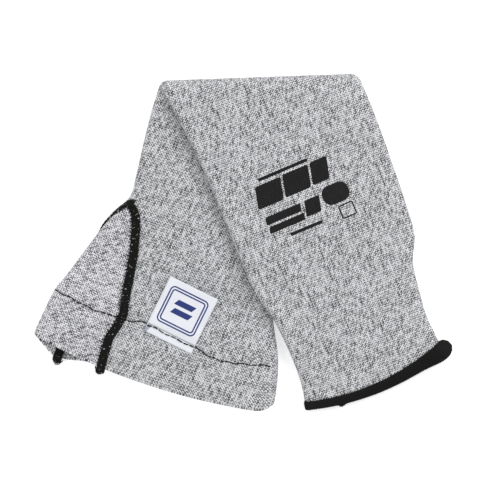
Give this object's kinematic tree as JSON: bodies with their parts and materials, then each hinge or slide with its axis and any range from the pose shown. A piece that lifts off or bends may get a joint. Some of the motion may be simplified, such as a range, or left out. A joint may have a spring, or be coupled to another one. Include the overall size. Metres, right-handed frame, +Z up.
{
  "type": "cut resistant arm sleeve",
  "caption": "Knitted cut-resistant arm sleeve, folded once in half, with a side gusset, a turned hem with a sewn-in label and an overlocked wrist edge.",
  "frame": {"origin": "middle of the object's footprint, on the table that it lies on", "axes": "+X along the fold, +Y from the two mouths towards the fold, +Z up from the table"},
  "size_m": [0.2296, 0.184, 0.0159],
  "materials": {
    "knit": "heather grey weft knit, matte",
    "gusset": "heather grey knit laid the other way, matte",
    "thread": "black overlocking and sewing thread, matte",
    "label": "white woven satin label"
  },
  "bodies": {
    "arm_half": {"arm_upper_knit": "knit", "arm_lower_knit": "knit", "gusset_upper": "gusset", "gusset_lower": "gusset", "gusset_seam_upper": "thread", "gusset_seam_lower": "thread", "hem_upper": "knit", "hem_lower": "knit", "hem_stitching_upper": "thread", "hem_stitching_lower": "thread", "label_tail": "label", "fold_outer_knit": "knit", "fold_inner_knit": "knit"},
    "wrist_half": {"wrist_upper_knit": "knit", "wrist_lower_knit": "knit", "wrist_edge_upper": "thread", "wrist_edge_lower": "thread"},
    "label": {"label_face": "label"}
  },
  "joints": [
    {"name": "fold", "type": "hinge", "parent": "arm_half", "child": "wrist_half", "pos_m": [0.01394, 0.08407, 0.00795], "axis": [-1, 0, 0], "range_deg": [0, 180], "deforming": ["fold_outer_knit", "fold_inner_knit"]},
    {"name": "label_flap", "type": "hinge", "parent": "arm_half", "child": "label", "pos_m": [-0.03916, -0.04748, 0.012], "axis": [0.8796, -0.4756, 0], "range_deg": [0, 150]}
  ]
}
